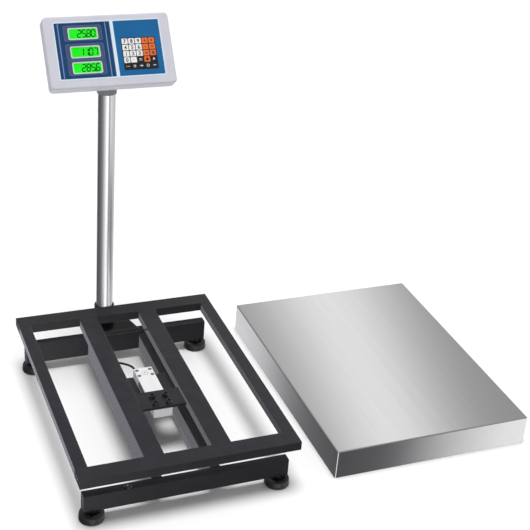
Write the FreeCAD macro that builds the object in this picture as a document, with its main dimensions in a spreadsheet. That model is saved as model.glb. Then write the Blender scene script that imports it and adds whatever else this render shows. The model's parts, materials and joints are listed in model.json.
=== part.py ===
import FreeCAD, Part
import math
import os
import re
import Sketcher
from FreeCAD import Placement, Rotation, Vector

# Platform shipping scale, in millimetres. +X runs to the right along the platform's 450 mm side, +Y runs
# back towards the column and +Z is up. The origin is on the floor under the middle of the platform.
# The stainless cover is off and stands on the floor to the right of the frame.

SIZES = {
    # upper frame, which the load cell carries
    "platform_width": 450,
    "platform_depth": 600,
    "load_top": 122,
    "load_height": 20,
    "load_beam_depth": 40,
    "load_rail_width": 25,
    "load_tube_width": 40,
    "load_tube_offset": 69,
    "tube_wall": 2,
    # lower frame, which stands on the feet
    "base_bottom": 24,
    "base_inset": 13,
    "base_setback": 24,
    "base_beam_depth": 20,
    "base_front_height": 38,
    "base_rear_height": 48,
    "base_rail_width": 21,
    "base_rail_offset": 60.5,
    # bridge over the lower rails, load cell and the plate on it
    "bridge_top": 85,
    "bridge_sheet": 6,
    "bridge_length": 62,
    "bridge_rear": 57,
    "cell_rear": 57,
    "cell_length": 155,
    "cell_width": 40,
    "cell_height": 21,
    "cell_row_edge": 8,
    "cell_row_rear": 20,
    "cell_row_front": 26,
    "cell_hole_offset": 14.5,
    "cell_hole": 9,
    "cell_slot_height": 12,
    "cell_slot_length": 56,
    "cell_slot_flat": 0.4,
    "cell_slot_middle": -18,
    "cell_plate_length": 58,
    "cell_plate_middle": -70,
    "cell_plate_sheet": 6,
    "screw_shank": 8,
    "screw_head": 13,
    "screw_head_height": 8,
    "screw_socket": 6,
    "screw_socket_depth": 4,
    "screw_reach": 18,
    # column
    "column_x": -12,
    "column_y": 333,
    "column_tube": 38,
    "column_wall": 1.5,
    "column_end": 660,
    "column_plate_sheet": 6,
    "column_plate_front_width": 128,
    "column_plate_rear_width": 70,
    "column_plate_tail": 30,
    "socket_outer": 46,
    "socket_clearance": 0.1,
    "socket_rim": 109,
    "socket_screw_low": 87,
    "socket_screw_high": 100,
    "cable_width": 5,
    "cable_inlet": 6.5,
    "clamp_screw_play": 0.05,
    # levelling feet
    "foot_x": 193,
    "foot_pad": 52,
    "foot_pad_top": 46,
    "foot_pad_height": 17,
    "foot_dish": 34,
    "foot_dish_depth": 5,
    "foot_pocket": 19,
    "foot_pocket_depth": 4,
    "foot_edge": 3,
    "foot_taper": 1,
    "foot_stud": 10,
    "foot_stud_end": 52,
    "foot_collar": 17,
    "foot_collar_height": 8,
    "foot_collar_gap": 0.3,
    "foot_hole": 11,
    # stainless cover
    "cover_width": 454,
    "cover_depth": 604,
    "cover_height": 67,
    "cover_sheet": 1.2,
    "cover_bend": 3,
    "cover_x": 542,
    "cover_y": 15,
    # indicator head
    "head_y": 300,
    "head_z": 740.5,
    "head_lean": 35.8,
    "head_width": 268,
    "head_height": 153.5,
    "head_shift_x": -1.75,
    "head_shift_y": -1,
    "head_depth": 34,
    "head_split": 14,
    "head_wall": 2.5,
    "head_corner": 9,
    "head_edge": 3,
    "display_x": -55,
    "display_y": 2,
    "display_width": 116,
    "display_height": 117,
    "panel_gap": 0.3,
    "panel_face": 0.8,
    "panel_sheet": 2.2,
    "lcd_width": 59,
    "lcd_height": 21.5,
    "lcd_thickness": 6,
    "lcd_high": 37.3,
    "lcd_middle": -1.4,
    "lcd_low": -34.8,
    "keypad_x": 59.5,
    "keypad_width": 97,
    "key_left": -29.3,
    "key_top": 16.3,
    "key_pitch_x": 14.4,
    "key_pitch_y": 13.4,
    "key_width": 13,
    "key_height": 12,
    "key_proud": 1,
    "key_tall": 5.5,
    "key_play": 0.25,
    "board_width": 236,
    "board_height": 126,
    "board_thickness": 1.6,
    "board_depth": 10,
    "battery_width": 90,
    "battery_height": 60,
    "battery_thickness": 17,
    "battery_x": 50,
    "battery_gap": 0.5,
    # swivelling neck and tilt pivot
    "neck_outer": 43,
    "neck_clearance": 0.08,
    "neck_lift": 0.3,
    "neck_bottom": 634,
    "neck_top": 664,
    "pivot_z": 687,
    "tongue_width": 16,
    "tongue_depth": 22,
    "ear_gap": 0.5,
    "ear_width": 8,
    "ear_radius": 11,
    "ear_root": 30,
    "pivot_pin": 8,
    "pivot_hole": 8.1,
    "pivot_head": 15,
    "pivot_head_height": 5,
}
KEY_COLUMNS = 5
KEY_ROWS = 5

doc = FreeCAD.newDocument("platform_scale")
sheet = doc.addObject("Spreadsheet::Sheet", "sizes")
for row, (alias, number) in enumerate(SIZES.items(), start=1):
    sheet.set("A%d" % row, alias)
    sheet.set("B%d" % row, str(number))
    sheet.setAlias("B%d" % row, alias)
doc.recompute()
parts = []


def size(alias):
    """A driving dimension, read back from the sheet."""
    return float(getattr(sheet, alias))


def in_sheet(word):
    """A word of a formula, led by the sheet's name where it is one of its aliases."""
    return "sizes." + word.group() if word.group() in SIZES else word.group()


def bind(item, target, formula):
    """Ties a property of an object to a formula written in the sheet's own names."""
    item.setExpression(target, re.sub(r"[a-z][a-z_]+", in_sheet, formula))


def place(item, x="0", y="0", z="0", turn=Rotation()):
    """Turns an object and ties its base point to three formulas."""
    item.Placement = Placement(Vector(), turn)
    for axis, formula in zip("xyz", (x, y, z)):
        bind(item, "Placement.Base." + axis, formula)
    return item


def subpart(item, label):
    """Lists an object as one sub-part of the scale under its own label."""
    item.Label = label
    parts.append(item)
    return item


def new_body(label):
    return subpart(doc.addObject("PartDesign::Body", label), label)


def flat_plane(body, role):
    return next(f for f in body.Origin.OriginFeatures if f.Role == role)


def sketch_on(body, role="XY_Plane", height=None):
    """An empty sketch on one of the body's own planes, raised along its normal by a formula."""
    sketch = body.newObject("Sketcher::SketchObject", body.Name + "_sketch")
    sketch.AttachmentSupport = [(flat_plane(body, role), "")]
    sketch.MapMode = "FlatFace"
    if height:
        bind(sketch, "AttachmentOffset.Base.z", height)
    return sketch


def pin_point(sketch, geometry, end, x, y):
    """Ties one point of a sketch to formulas for its distances from the sketch's origin."""
    for kind, formula in (("DistanceX", x), ("DistanceY", y)):
        number = sketch.addConstraint(Sketcher.Constraint(kind, -1, 1, geometry, end, 1.0))
        bind(sketch, "Constraints[%d]" % number, formula)


def outline(sketch, corners):
    """A closed polygon through corners given as pairs of formulas."""
    first = sketch.GeometryCount
    count = len(corners)
    angles = [2 * math.pi * i / count for i in range(count)]
    spots = [Vector(math.cos(a), math.sin(a), 0) for a in angles]
    for i in range(count):
        sketch.addGeometry(Part.LineSegment(spots[i], spots[(i + 1) % count]), False)
    for i in range(count):
        after = first + (i + 1) % count
        sketch.addConstraint(Sketcher.Constraint("Coincident", first + i, 2, after, 1))
    for i, (x, y) in enumerate(corners):
        pin_point(sketch, first + i, 1, x, y)


def rectangle(sketch, x, y, width, height):
    """A rectangle centred on formulas x and y."""
    left, right = "(%s) - (%s) / 2" % (x, width), "(%s) + (%s) / 2" % (x, width)
    low, high = "(%s) - (%s) / 2" % (y, height), "(%s) + (%s) / 2" % (y, height)
    outline(sketch, [(left, low), (right, low), (right, high), (left, high)])


def circle(sketch, x, y, diameter):
    ring = sketch.addGeometry(Part.Circle(Vector(0, 0, 0), Vector(0, 0, 1), 1.0), False)
    number = sketch.addConstraint(Sketcher.Constraint("Diameter", ring, 2.0))
    bind(sketch, "Constraints[%d]" % number, diameter)
    pin_point(sketch, ring, 3, x, y)


def pad(body, sketch, length):
    feature = body.newObject("PartDesign::Pad", body.Name + "_pad")
    feature.Profile = sketch
    bind(feature, "Length", length)
    return feature


def pocket(body, sketch, depth=None, up=False):
    """Cuts a sketch down into the body, or up along the sketch's normal, all the way through by default."""
    doc.recompute()
    before = body.Shape.Volume
    feature = body.newObject("PartDesign::Pocket", body.Name + "_pocket")
    feature.Profile = sketch
    feature.Reversed = up
    if depth:
        bind(feature, "Length", depth)
    else:
        feature.Type = 1
    doc.recompute()
    if body.Shape.Volume > before - 0.01:
        raise RuntimeError("a pocket in %s cut nothing" % body.Label)
    return feature


def round_edges(body, radius, wanted):
    """Fillets the edges of the body's tip that the wanted test picks."""
    doc.recompute()
    tip = body.Tip
    names = ["Edge%d" % (i + 1) for i, edge in enumerate(tip.Shape.Edges) if wanted(edge)]
    feature = body.newObject("PartDesign::Fillet", body.Name + "_fillet")
    feature.Base = (tip, names)
    bind(feature, "Radius", radius)
    doc.recompute()
    return feature


def level_at(height):
    """Picks edges that lie at one height above the body's base plane."""
    return lambda e: all(abs(v.Z - height) < 1e-6 for v in e.Vertexes)


def upright(edge):
    ends = edge.Vertexes
    return len(ends) == 2 and abs(ends[0].Z - ends[1].Z) > 1 and (ends[0].Point - ends[1].Point).Length < (
        abs(ends[0].Z - ends[1].Z) + 1e-6
    )


ALONG_X = Rotation(Vector(1, 1, 1), 120)
ALONG_Y = Rotation(Vector(1, 0, 0), -90)


def steel_tube(label, along, width, height, length, x, y, z):
    """A rectangular steel tube, open at its ends. x, y, z is the middle of its near or left end."""
    body = new_body(label)
    sketch = sketch_on(body)
    rectangle(sketch, "0", "0", width, height)
    rectangle(sketch, "0", "0", "%s - 2 * tube_wall" % width, "%s - 2 * tube_wall" % height)
    pad(body, sketch, length)
    return place(body, x, y, z, along)


def mirrored_pair(label, left):
    """One node of two separate equal pieces: a left one and its mirror image across the YZ plane."""
    parts.remove(left)
    right = doc.addObject("Part::Mirroring", label + "_right")
    right.Source = left
    right.Normal = Vector(1, 0, 0)
    pair = doc.addObject("Part::Compound", label)
    pair.Links = [left, right]
    return subpart(pair, label)


# --- upper frame ----------------------------------------------------------------------------------
LOAD_MIDDLE = "load_top - load_height / 2"


def load_beam(label, y):
    left, span = "-platform_width / 2", "platform_width"
    return steel_tube(label, ALONG_X, "load_beam_depth", "load_height", span, left, y, LOAD_MIDDLE)


def load_runner(label, width, x):
    return steel_tube(
        label,
        ALONG_Y,
        width,
        "load_height",
        "platform_depth - 2 * load_beam_depth",
        x,
        "-platform_depth / 2 + load_beam_depth",
        LOAD_MIDDLE,
    )


load_beam("load_front_beam", "-platform_depth / 2 + load_beam_depth / 2")
load_beam("load_rear_beam", "platform_depth / 2 - load_beam_depth / 2")
left_rail = load_runner("load_left_rail", "load_rail_width", "-platform_width / 2 + load_rail_width / 2")
mirrored_pair("load_side_rails", left_rail)
left_tube = load_runner("load_left_tube", "load_tube_width", "-load_tube_offset")
mirrored_pair("load_middle_tubes", left_tube)

# --- lower frame ----------------------------------------------------------------------------------
BASE_SPAN = "platform_width - 2 * base_inset"
BEAM_MIDDLE = "platform_depth / 2 - base_setback - base_beam_depth / 2"


def base_beam(label, sign, height):
    """A lower cross beam drilled for the two foot studs under it."""
    body = new_body(label)
    sketch = sketch_on(body)
    rectangle(sketch, "0", "0", BASE_SPAN, "base_beam_depth")
    pad(body, sketch, height)
    bore = sketch_on(body, "YZ_Plane", "-(%s) / 2" % BASE_SPAN)
    rectangle(bore, "0", "%s / 2" % height, "base_beam_depth - 2 * tube_wall", "%s - 2 * tube_wall" % height)
    pocket(body, bore, BASE_SPAN, up=True)
    holes = sketch_on(body)
    for side in ("-", "+"):
        circle(holes, side + "foot_x", "0", "foot_hole")
    pocket(body, holes, "tube_wall", up=True)
    return place(body, "0", "%s * (%s)" % (sign, BEAM_MIDDLE), "base_bottom")


base_beam("base_front_beam", "-1", "base_front_height")
base_beam("base_rear_beam", "1", "base_rear_height")
left_rail = steel_tube(
    "base_left_rail",
    ALONG_Y,
    "base_rail_width",
    "base_front_height",
    "2 * (%s) - base_beam_depth" % BEAM_MIDDLE,
    "-base_rail_offset",
    "-(%s) + base_beam_depth / 2" % BEAM_MIDDLE,
    "base_bottom + base_front_height / 2",
)
mirrored_pair("base_rails", left_rail)

# --- bridge, load cell and its plate --------------------------------------------------------------
BRIDGE_RISE = "bridge_top - base_bottom - base_front_height"
BRIDGE_HALF = "base_rail_offset + base_rail_width / 2"
bridge = new_body("cell_bridge")
section = sketch_on(bridge, "XZ_Plane")
outline(
    section,
    [
        ("-(%s)" % BRIDGE_HALF, "0"),
        ("-(%s) + bridge_sheet" % BRIDGE_HALF, "0"),
        ("-(%s) + bridge_sheet" % BRIDGE_HALF, "%s - bridge_sheet" % BRIDGE_RISE),
        ("%s - bridge_sheet" % BRIDGE_HALF, "%s - bridge_sheet" % BRIDGE_RISE),
        ("%s - bridge_sheet" % BRIDGE_HALF, "0"),
        (BRIDGE_HALF, "0"),
        (BRIDGE_HALF, BRIDGE_RISE),
        ("-(%s)" % BRIDGE_HALF, BRIDGE_RISE),
    ],
)
pad(bridge, section, "bridge_length")

REAR_ROWS = ["cell_rear - cell_row_edge", "cell_rear - cell_row_edge - cell_row_rear"]
CELL_FRONT = "cell_rear - cell_length"
FRONT_ROWS = [CELL_FRONT + " + cell_row_edge", CELL_FRONT + " + cell_row_edge + cell_row_front"]


def screw_rows(sketch, rows, shift):
    """Screw holes in pairs, in rows whose places along Y are measured from shift."""
    for row in rows:
        for side in ("-", "+"):
            circle(sketch, side + "cell_hole_offset", "(%s) - (%s)" % (row, shift), "cell_hole")


holes = sketch_on(bridge)
screw_rows(holes, REAR_ROWS, "bridge_rear")
pocket(bridge, holes, up=True)
place(bridge, "0", "bridge_rear", "base_bottom + base_front_height")

cell = new_body("load_cell")
block = sketch_on(cell)
rectangle(block, "0", "cell_rear - cell_length / 2", "cell_width", "cell_length")
pad(cell, block, "cell_height")
holes = sketch_on(cell)
screw_rows(holes, REAR_ROWS + FRONT_ROWS, "0")
pocket(cell, holes, up=True)
slot = sketch_on(cell, "YZ_Plane", "-cell_width / 2")
rectangle(slot, "cell_slot_middle", "cell_height / 2", "cell_slot_length", "cell_slot_height")
pocket(cell, slot, "cell_width", up=True)
round_edges(
    cell,
    "cell_slot_height / 2 - cell_slot_flat / 2",
    lambda e: len(e.Vertexes) == 2
    and abs(e.Vertexes[0].X - e.Vertexes[1].X) > size("cell_width") - 1e-6
    and 1 < e.Vertexes[0].Z < size("cell_height") - 1,
)
place(cell, z="bridge_top")

plate = new_body("load_cell_plate")
blank = sketch_on(plate)
rectangle(blank, "0", "cell_plate_middle", "2 * load_tube_offset - load_tube_width", "cell_plate_length")
pad(plate, blank, "cell_plate_sheet")
holes = sketch_on(plate)
screw_rows(holes, FRONT_ROWS, "0")
pocket(plate, holes, up=True)
place(plate, z="bridge_top + cell_height")


def loose_group(label, source, spots):
    """One node of separate equal solids: a copy of source moved to each spot."""
    group = subpart(doc.addObject("Part::Feature", label), label)
    group.Shape = Part.makeCompound([source.translated(spot) for spot in spots])
    return group


def cap_screw(head_up):
    """A socket cap screw about the origin, its head's seat at height 0."""
    way = 1 if head_up else -1
    axis = Vector(0, 0, way)
    head = Part.makeCylinder(size("screw_head") / 2, size("screw_head_height"), Vector(), axis)
    shank = Part.makeCylinder(size("screw_shank") / 2, size("screw_reach"), Vector(), -axis)
    floor = size("screw_head_height") - size("screw_socket_depth")
    hexagon = Part.makePolygon(
        [
            Vector(math.cos(a), math.sin(a), 0) * size("screw_socket") / math.sqrt(3) + axis * floor
            for a in [math.radians(60 * i) for i in range(7)]
        ]
    )
    socket = Part.Face(hexagon).extrude(axis * size("screw_socket_depth"))
    return head.fuse(shank).cut(socket).removeSplitter()


def screw_spots(rows, height):
    return [Vector(side * size("cell_hole_offset"), y, height) for y in rows for side in (-1, 1)]


cell_rear = size("cell_rear")
cell_front = cell_rear - size("cell_length")
row_edge = size("cell_row_edge")
loose_group(
    "cell_lower_screws",
    cap_screw(head_up=False),
    screw_spots(
        [cell_rear - row_edge, cell_rear - row_edge - size("cell_row_rear")],
        size("bridge_top") - size("bridge_sheet"),
    ),
)
loose_group(
    "cell_upper_screws",
    cap_screw(head_up=True),
    screw_spots(
        [cell_front + row_edge, cell_front + row_edge + size("cell_row_front")],
        size("bridge_top") + size("cell_height") + size("cell_plate_sheet"),
    ),
)

# --- column ---------------------------------------------------------------------------------------
PLATE_Z = "base_bottom + base_rear_height"
PLATE_TOP = PLATE_Z + " + column_plate_sheet"
PLATE_FRONT = "platform_depth / 2 - base_setback - base_beam_depth"
column_plate = new_body("column_plate")
blank = sketch_on(column_plate)
outline(
    blank,
    [
        ("-column_plate_front_width / 2", "%s - column_y" % PLATE_FRONT),
        ("column_plate_front_width / 2", "%s - column_y" % PLATE_FRONT),
        ("column_plate_rear_width / 2", "column_plate_tail"),
        ("-column_plate_rear_width / 2", "column_plate_tail"),
    ],
)
pad(column_plate, blank, "column_plate_sheet")
place(column_plate, "column_x", "column_y", PLATE_Z)

socket = new_body("column_socket")
ring = sketch_on(socket)
circle(ring, "0", "0", "socket_outer")
circle(ring, "0", "0", "column_tube + 2 * socket_clearance")
pad(socket, ring, "socket_rim - (%s)" % PLATE_TOP)
drill = sketch_on(socket, "XZ_Plane")
for level in ("socket_screw_low", "socket_screw_high"):
    circle(drill, "0", "%s - (%s)" % (level, PLATE_TOP), "screw_shank")
pocket(socket, drill, "socket_outer", up=False)
inlet = sketch_on(socket, "YZ_Plane")
circle(inlet, "0", "socket_screw_low - (%s)" % PLATE_TOP, "cable_inlet")
pocket(socket, inlet, "socket_outer", up=False)
place(socket, "column_x", "column_y", PLATE_TOP)

column = new_body("column_tube")
ring = sketch_on(column)
circle(ring, "0", "0", "column_tube")
circle(ring, "0", "0", "column_tube - 2 * column_wall")
pad(column, ring, "column_end - (%s)" % PLATE_TOP)
inlet = sketch_on(column, "YZ_Plane")
circle(inlet, "0", "socket_screw_low - (%s)" % PLATE_TOP, "cable_inlet")
pocket(column, inlet, "column_tube", up=False)
place(column, "column_x", "column_y", PLATE_TOP)


def clamp_screw():
    """A screw along +Y whose tip bears on the column through the socket's wall."""
    column_radius = size("column_tube") / 2
    seat = Vector(0, size("socket_outer") / 2, 0)
    tip = Vector(0, column_radius, 0)
    back = Vector(0, 1, 0)
    shank = Part.makeCylinder(size("screw_shank") / 2 - size("clamp_screw_play"), seat.y - tip.y, tip, back)
    head = Part.makeCylinder(size("screw_head") / 2, size("screw_head_height"), seat, back)
    tube = Part.makeCylinder(column_radius, 2 * size("screw_head"), Vector(0, 0, -size("screw_head")))
    return shank.fuse(head).cut(tube).removeSplitter()


clamp_levels = [size("socket_screw_low"), size("socket_screw_high")]
loose_group(
    "column_screws",
    clamp_screw(),
    [Vector(size("column_x"), size("column_y"), level) for level in clamp_levels],
)

# --- cable from the load cell to the column -------------------------------------------------------
# Out of the cell's rear end, down to the left rail, up over the column's plate and in through the socket.
CABLE_ROUTE = [
    Vector(-13, 57, 96),
    Vector(-13, 78, 96),
    Vector(-24, 98, 93),
    Vector(-41, 118, 88),
    Vector(-54, 142, 78),
    Vector(-59, 170, 67.5),
    Vector(-60, 200, 65.5),
    Vector(-61, 224, 70),
    Vector(-60, 246, 82),
    Vector(-57, 268, 85.5),
    Vector(-61, 290, 85),
    Vector(-60, 309, 85.5),
    Vector(-52, 325, 86.5),
    Vector(-39, 333, 87),
    Vector(-24, 333, 87),
]
CABLE_TIGHTNESS = 0.45


def rounded_route(points):
    """Straight runs joined by tangent arcs, each as large as its two runs allow, and the arcs' radii."""
    runs = [(b - a) for a, b in zip(points, points[1:])]
    edges, radii, start = [], [], points[0]
    for corner, before, after in zip(points[1:], runs, runs[1:]):
        half_turn = before.getAngle(after) / 2
        radius = CABLE_TIGHTNESS * min(before.Length, after.Length) / math.tan(half_turn)
        reach = radius * math.tan(half_turn)
        away_in = Vector(before).normalize() * -1
        away_out = Vector(after).normalize()
        first, last = corner + away_in * reach, corner + away_out * reach
        inward = (away_in + away_out).normalize()
        middle = corner + inward * (radius / math.cos(half_turn) - radius)
        edges += [Part.LineSegment(start, first).toShape(), Part.Arc(first, middle, last).toShape()]
        radii.append(radius)
        start = last
    edges.append(Part.LineSegment(start, points[-1]).toShape())
    return Part.Wire(edges), radii


route, bend_radii = rounded_route(CABLE_ROUTE)
cable_ring = Part.Wire(
    Part.makeCircle(size("cable_width") / 2, CABLE_ROUTE[0], CABLE_ROUTE[1] - CABLE_ROUTE[0])
)
cable = subpart(doc.addObject("Part::Feature", "cell_cable"), "cell_cable")
cable.Shape = route.makePipeShell([cable_ring], True, False)
expected = math.pi * (size("cable_width") / 2) ** 2 * route.Length
print("cable radii", [round(r, 1) for r in bend_radii])
print("cable volume over section times length: %.4f" % (cable.Shape.Volume / expected))

# --- levelling feet -------------------------------------------------------------------------------
FOOT_CORNERS = {
    "front_left": (-1, -1),
    "front_right": (1, -1),
    "rear_left": (-1, 1),
    "rear_right": (1, 1),
}
DISH_FLOOR = "foot_pad_height - foot_dish_depth"
POCKET_FLOOR = DISH_FLOOR + " - foot_pocket_depth"
STUD_SEAT = POCKET_FLOOR + " + foot_collar_gap"


def foot_pad(label):
    """A round moulded pad, turned about its own axis, with a pocket that holds the stud's collar."""
    body = new_body(label)
    half = sketch_on(body, "XZ_Plane")
    outline(
        half,
        [
            ("0", "0"),
            ("foot_pad / 2 - foot_edge", "0"),
            ("foot_pad / 2", "foot_edge"),
            ("foot_pad / 2 - foot_taper", "foot_pad_height - foot_edge"),
            ("foot_pad_top / 2", "foot_pad_height"),
            ("foot_dish / 2", "foot_pad_height"),
            ("foot_pocket / 2 + foot_taper", DISH_FLOOR),
            ("foot_pocket / 2", DISH_FLOOR + " - foot_taper"),
            ("foot_pocket / 2", POCKET_FLOOR),
            ("0", POCKET_FLOOR),
        ],
    )
    turned = body.newObject("PartDesign::Revolution", body.Name + "_turned")
    turned.Profile = half
    turned.ReferenceAxis = (half, ["V_Axis"])
    turned.Angle = 360
    return body


def foot_stud(label):
    """A threaded stud, drawn plain, with a hexagonal collar for a spanner."""
    body = new_body(label)
    collar = sketch_on(body)
    turns = [math.radians(60 * i) for i in range(6)]
    reach = "%.6f * foot_collar / 2"
    outline(collar, [(reach % math.cos(a), reach % math.sin(a)) for a in turns])
    pad(body, collar, "foot_collar_height")
    shank = sketch_on(body)
    circle(shank, "0", "0", "foot_stud")
    pad(body, shank, "foot_stud_end - (%s)" % STUD_SEAT)
    return body


for name, (side, end) in FOOT_CORNERS.items():
    foot_x, foot_y = "%d * foot_x" % side, "%d * (%s)" % (end, BEAM_MIDDLE)
    place(foot_pad("foot_pad_" + name), foot_x, foot_y, "0")
    place(foot_stud("foot_stud_" + name), foot_x, foot_y, STUD_SEAT)

# --- stainless cover ------------------------------------------------------------------------------
cover = new_body("platform_cover")
block = sketch_on(cover)
rectangle(block, "0", "0", "cover_width", "cover_depth")
pad(cover, block, "cover_height")
round_edges(cover, "cover_bend", lambda e: upright(e) or level_at(size("cover_height"))(e))
hollow = sketch_on(cover)
rectangle(hollow, "0", "0", "cover_width - 2 * cover_sheet", "cover_depth - 2 * cover_sheet")
pocket(cover, hollow, "cover_height - cover_sheet", up=True)
place(cover, "cover_x", "cover_y", "0")

# --- indicator head -------------------------------------------------------------------------------
# Built with the face in the XY plane, Y up the face and Z out of it towards the user, and then leaned back.
FACE_TURN = Rotation(Vector(1, 0, 0), 90 - size("head_lean"))


def on_head(item):
    return place(item, "column_x", "head_y", "head_z", FACE_TURN)


def head_shell(label, front, back):
    """A slab of the housing's outline between two depths behind the face, with round upright corners."""
    body = new_body(label)
    blank = sketch_on(body, height="-(%s)" % back)
    rectangle(blank, "head_shift_x", "head_shift_y", "head_width", "head_height")
    pad(body, blank, "(%s) - (%s)" % (back, front))
    round_edges(body, "head_corner", upright)
    return body


HEAD_HOLLOW = ("head_shift_x", "head_shift_y", "head_width - 2 * head_corner", "head_height - 2 * head_wall")
rear_shell = head_shell("head_rear_shell", "head_split", "head_depth")
round_edges(rear_shell, "head_edge * 2", level_at(-size("head_depth")))
hollow = sketch_on(rear_shell, height="-(head_depth - head_wall)")
rectangle(hollow, *HEAD_HOLLOW)
pocket(rear_shell, hollow, "head_depth - head_wall - head_split", up=True)

bezel = head_shell("head_front_bezel", "0", "head_split")
round_edges(bezel, "head_edge", level_at(0))
hollow = sketch_on(bezel, height="-head_split")
rectangle(hollow, *HEAD_HOLLOW)
pocket(bezel, hollow, "head_split - head_edge - head_wall", up=True)
windows = sketch_on(bezel, height="-head_split")
rectangle(windows, "display_x", "display_y", "display_width", "display_height")
rectangle(windows, "keypad_x", "display_y", "keypad_width", "display_height")
pocket(bezel, windows, up=True)

PIVOT_X = "(column_y - head_y) * sin(head_lean * 1deg) + (pivot_z - head_z) * cos(head_lean * 1deg)"
PIVOT_Y = "(pivot_z - head_z) * sin(head_lean * 1deg) - (column_y - head_y) * cos(head_lean * 1deg)"
EAR_NEAR = "tongue_width / 2 + ear_gap"
for side, start in (("left", "-(%s) - ear_width" % EAR_NEAR), ("right", EAR_NEAR)):
    root = sketch_on(rear_shell, "YZ_Plane", start)
    outline(
        root,
        [
            (PIVOT_X + " - ear_root / 2", "head_wall - head_depth"),
            (PIVOT_X + " - ear_radius", PIVOT_Y),
            (PIVOT_X + " + ear_radius", PIVOT_Y),
            (PIVOT_X + " + ear_root / 2", "head_wall - head_depth"),
        ],
    )
    pad(rear_shell, root, "ear_width")
    knuckle = sketch_on(rear_shell, "YZ_Plane", start)
    circle(knuckle, PIVOT_X, PIVOT_Y, "2 * ear_radius")
    pad(rear_shell, knuckle, "ear_width")
    eye = sketch_on(rear_shell, "YZ_Plane", start)
    circle(eye, PIVOT_X, PIVOT_Y, "pivot_hole")
    pocket(rear_shell, eye, "ear_width", up=True)

bolt = new_body("tilt_bolt")
PIVOT_REACH = "(%s) + ear_width" % EAR_NEAR
pin = sketch_on(bolt, "YZ_Plane", "-(%s)" % PIVOT_REACH)
circle(pin, PIVOT_X, PIVOT_Y, "pivot_pin")
pad(bolt, pin, "2 * (%s)" % PIVOT_REACH)
for start in ("-(%s) - pivot_head_height" % PIVOT_REACH, PIVOT_REACH):
    head = sketch_on(bolt, "YZ_Plane", start)
    circle(head, PIVOT_X, PIVOT_Y, "pivot_head")
    pad(bolt, head, "pivot_head_height")

LCD_LEVELS = ("lcd_high", "lcd_middle", "lcd_low")
window = new_body("display_window")
blank = sketch_on(window, height="-panel_face - panel_sheet")
rectangle(blank, "display_x", "display_y", "display_width - 2 * panel_gap", "display_height - 2 * panel_gap")
for level in LCD_LEVELS:
    rectangle(blank, "display_x", level, "lcd_width + 2 * panel_gap", "lcd_height + 2 * panel_gap")
pad(window, blank, "panel_sheet")

lcd_corner = Vector(
    size("display_x") - size("lcd_width") / 2,
    -size("lcd_height") / 2,
    -size("panel_face") - size("lcd_thickness"),
)
lcd_shape = Part.makeBox(size("lcd_width"), size("lcd_height"), size("lcd_thickness"), lcd_corner)
lcds = loose_group("lcd_modules", lcd_shape, [Vector(0, size(level), 0) for level in LCD_LEVELS])

key_places = [
    (column, row, "keypad_x + key_left + %d * key_pitch_x" % column, "key_top - %d * key_pitch_y" % row)
    for row in range(KEY_ROWS)
    for column in range(KEY_COLUMNS)
]
keypad = new_body("keypad_panel")
blank = sketch_on(keypad, height="-panel_face - panel_sheet")
rectangle(blank, "keypad_x", "display_y", "keypad_width - 2 * panel_gap", "display_height - 2 * panel_gap")
pad(keypad, blank, "panel_sheet")
openings = sketch_on(keypad, height="-panel_face - panel_sheet")
for column, row, x, y in key_places:
    rectangle(openings, x, y, "key_width + 2 * key_play", "key_height + 2 * key_play")
pocket(keypad, openings, up=True)

keys = []
for column, row, x, y in key_places:
    key = new_body("key_row%d_col%d" % (row + 1, column + 1))
    blank = sketch_on(key, height="key_proud - panel_face - key_tall")
    rectangle(blank, x, y, "key_width", "key_height")
    pad(key, blank, "key_tall")
    keys.append(key)

board = new_body("main_board")
blank = sketch_on(board, height="-board_depth")
rectangle(blank, "0", "0", "board_width", "board_height")
pad(board, blank, "board_thickness")

battery = new_body("battery")
blank = sketch_on(battery, height="-head_depth + head_wall + battery_gap")
rectangle(blank, "battery_x", "0", "battery_width", "battery_height")
pad(battery, blank, "battery_thickness")

for item in [rear_shell, bolt, bezel, window, keypad, board, battery] + keys:
    on_head(item)
face_place = Placement(Vector(size("column_x"), size("head_y"), size("head_z")), FACE_TURN)
lcds.Placement = face_place

# --- swivelling neck ------------------------------------------------------------------------------
neck = new_body("head_neck")
cap = sketch_on(neck)
circle(cap, "0", "0", "neck_outer")
pad(neck, cap, "neck_top - neck_bottom")
bore = sketch_on(neck)
circle(bore, "0", "0", "column_tube + 2 * neck_clearance")
pocket(neck, bore, "column_end + neck_lift - neck_bottom", up=True)
tongue = sketch_on(neck, height="neck_top - neck_bottom")
rectangle(tongue, "0", "0", "tongue_width", "tongue_depth")
pad(neck, tongue, "pivot_z - neck_top")
knuckle = sketch_on(neck, "YZ_Plane", "-tongue_width / 2")
circle(knuckle, "0", "pivot_z - neck_bottom", "tongue_depth")
pad(neck, knuckle, "tongue_width")
eye = sketch_on(neck, "YZ_Plane", "-tongue_width / 2")
circle(eye, "0", "pivot_z - neck_bottom", "pivot_hole")
pocket(neck, eye, "tongue_width", up=True)
place(neck, "column_x", "column_y", "neck_bottom")

doc.recompute()
failed = [o.Name for o in doc.Objects if "Invalid" in o.State or "Error" in o.State]
if failed:
    raise RuntimeError("failed objects: %s" % failed)
os.makedirs("parts", exist_ok=True)
for item in parts:
    if item.Shape.isNull() or not item.Shape.isValid():
        raise RuntimeError("bad shape: " + item.Label)
    item.Shape.exportStep("parts/%s.step" % item.Label)
print(len(parts), "sub-parts")
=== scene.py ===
import json
import math

import bmesh
import bpy
from mathutils import Matrix, Vector


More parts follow.
